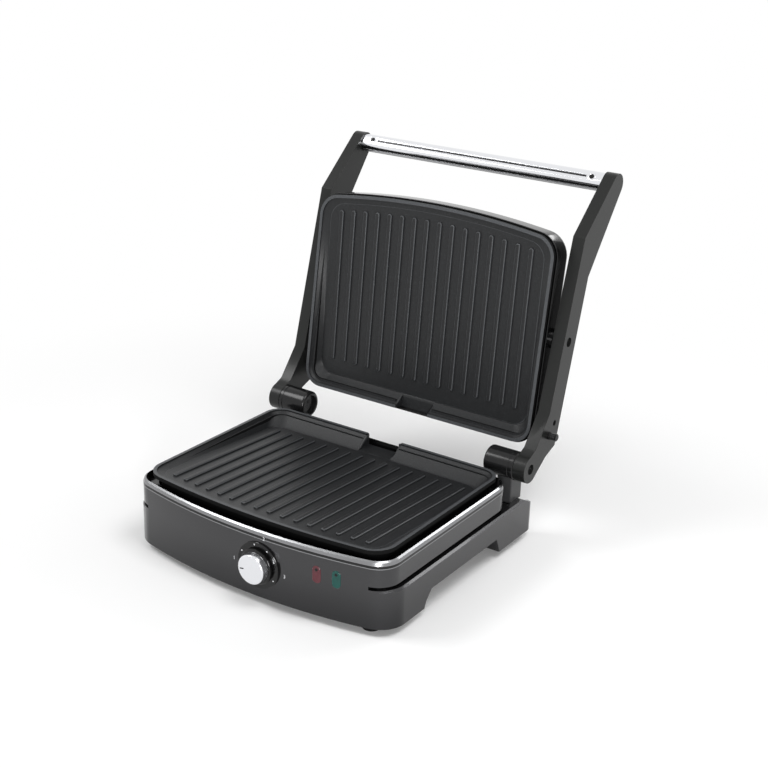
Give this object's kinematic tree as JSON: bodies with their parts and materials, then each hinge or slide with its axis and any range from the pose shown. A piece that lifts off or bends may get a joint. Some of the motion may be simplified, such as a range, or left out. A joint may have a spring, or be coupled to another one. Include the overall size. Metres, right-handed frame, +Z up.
{
  "type": "electric contact grill",
  "caption": "Electric contact grill with two ribbed plates, a lid floating on two bent hinged arms, a bar handle, a thermostat knob, signal lamps and a drip tray",
  "frame": {"origin": "under the middle of the standing grill's outline, on the table", "axes": "+X to the right as seen from the knob side, +Y from the knob side to the hinge side, +Z up"},
  "size_m": [0.3356, 0.4298, 0.3615],
  "materials": {
    "gunmetal": "glossy dark gunmetal lacquer over the moulding",
    "black_plastic": "fine matte black",
    "steel": "plain zinc plated steel",
    "rubber": "matte black rubber",
    "bracket_grey": "satin dark grey paint on a casting, glossy on the barrel",
    "coating": "dark grey non-stick coating on cast aluminium, finely speckled",
    "sheet": "bright aluminised sheet",
    "red_lens": "glossy red lens",
    "green_lens": "glossy green lens",
    "bright": "bright chrome",
    "arm_metal": "satin dark grey paint on a casting",
    "lid_black": "glossy black"
  },
  "bodies": {
    "base": {"base_housing": "gunmetal", "bottom_cover": "black_plastic", "cover_screws": "steel", "rubber_feet": "rubber", "dial_plate": "black_plastic", "hinge_bracket_left": "bracket_grey", "hinge_bracket_right": "bracket_grey", "hinge_pin_left": "steel", "hinge_pin_right": "steel", "lower_plate": "coating", "lower_heater": "steel", "lower_reflector": "sheet", "lower_plate_screws": "steel", "lamp_red": "red_lens", "lamp_green": "green_lens", "lamp_holder": "black_plastic", "thermostat": "steel", "thermostat_nut": "steel", "cord_gland": "rubber"},
    "arms": {"arm_left": "arm_metal", "arm_right": "arm_metal", "handle_core": "black_plastic", "handle_cover": "bright", "handle_screws": "steel"},
    "pivots": {"pivot_pin_left": "steel", "pivot_pin_right": "steel"},
    "lid": {"lid_housing": "lid_black", "upper_plate": "coating", "upper_heater": "steel", "upper_reflector": "sheet", "upper_plate_screws": "steel"},
    "knob": {"knob_shaft": "steel", "knob_skirt": "black_plastic", "knob_cap": "bright"},
    "button": {"release_button": "black_plastic"},
    "tray": {"drip_tray": "black_plastic"}
  },
  "joints": [
    {"name": "arm_hinge", "type": "hinge", "parent": "base", "child": "arms", "pos_m": [-0.00475, 0.05655, 0.085], "axis": [-1, 0, 0], "range_deg": [-109, 75]},
    {"name": "pivot_follow", "type": "hinge", "parent": "arms", "child": "pivots", "pos_m": [-0.00475, 0.12009, 0.20379], "axis": [-1, 0, 0], "range_deg": [-8, 11.2]},
    {"name": "lid_tilt", "type": "hinge", "parent": "pivots", "child": "lid", "pos_m": [-0.00475, 0.12009, 0.20379], "axis": [-1, 0, 0], "range_deg": [0, 14.57]},
    {"name": "knob_turn", "type": "hinge", "parent": "base", "child": "knob", "pos_m": [0.01475, -0.20245, 0.042], "axis": [0, 1, 0], "range_deg": [0, 235]},
    {"name": "button_press", "type": "slide", "parent": "arms", "child": "button", "axis": [-1, 0, 0], "range_m": [0, 0.004], "stiffness_N_per_m": 500},
    {"name": "tray_slide", "type": "slide", "parent": "base", "child": "tray", "axis": [0, 1, 0], "range_m": [0, 0.085]}
  ],
  "couplings": [
    {"joint": "pivot_follow", "follows": "arm_hinge", "ratio": -0.10092}
  ]
}
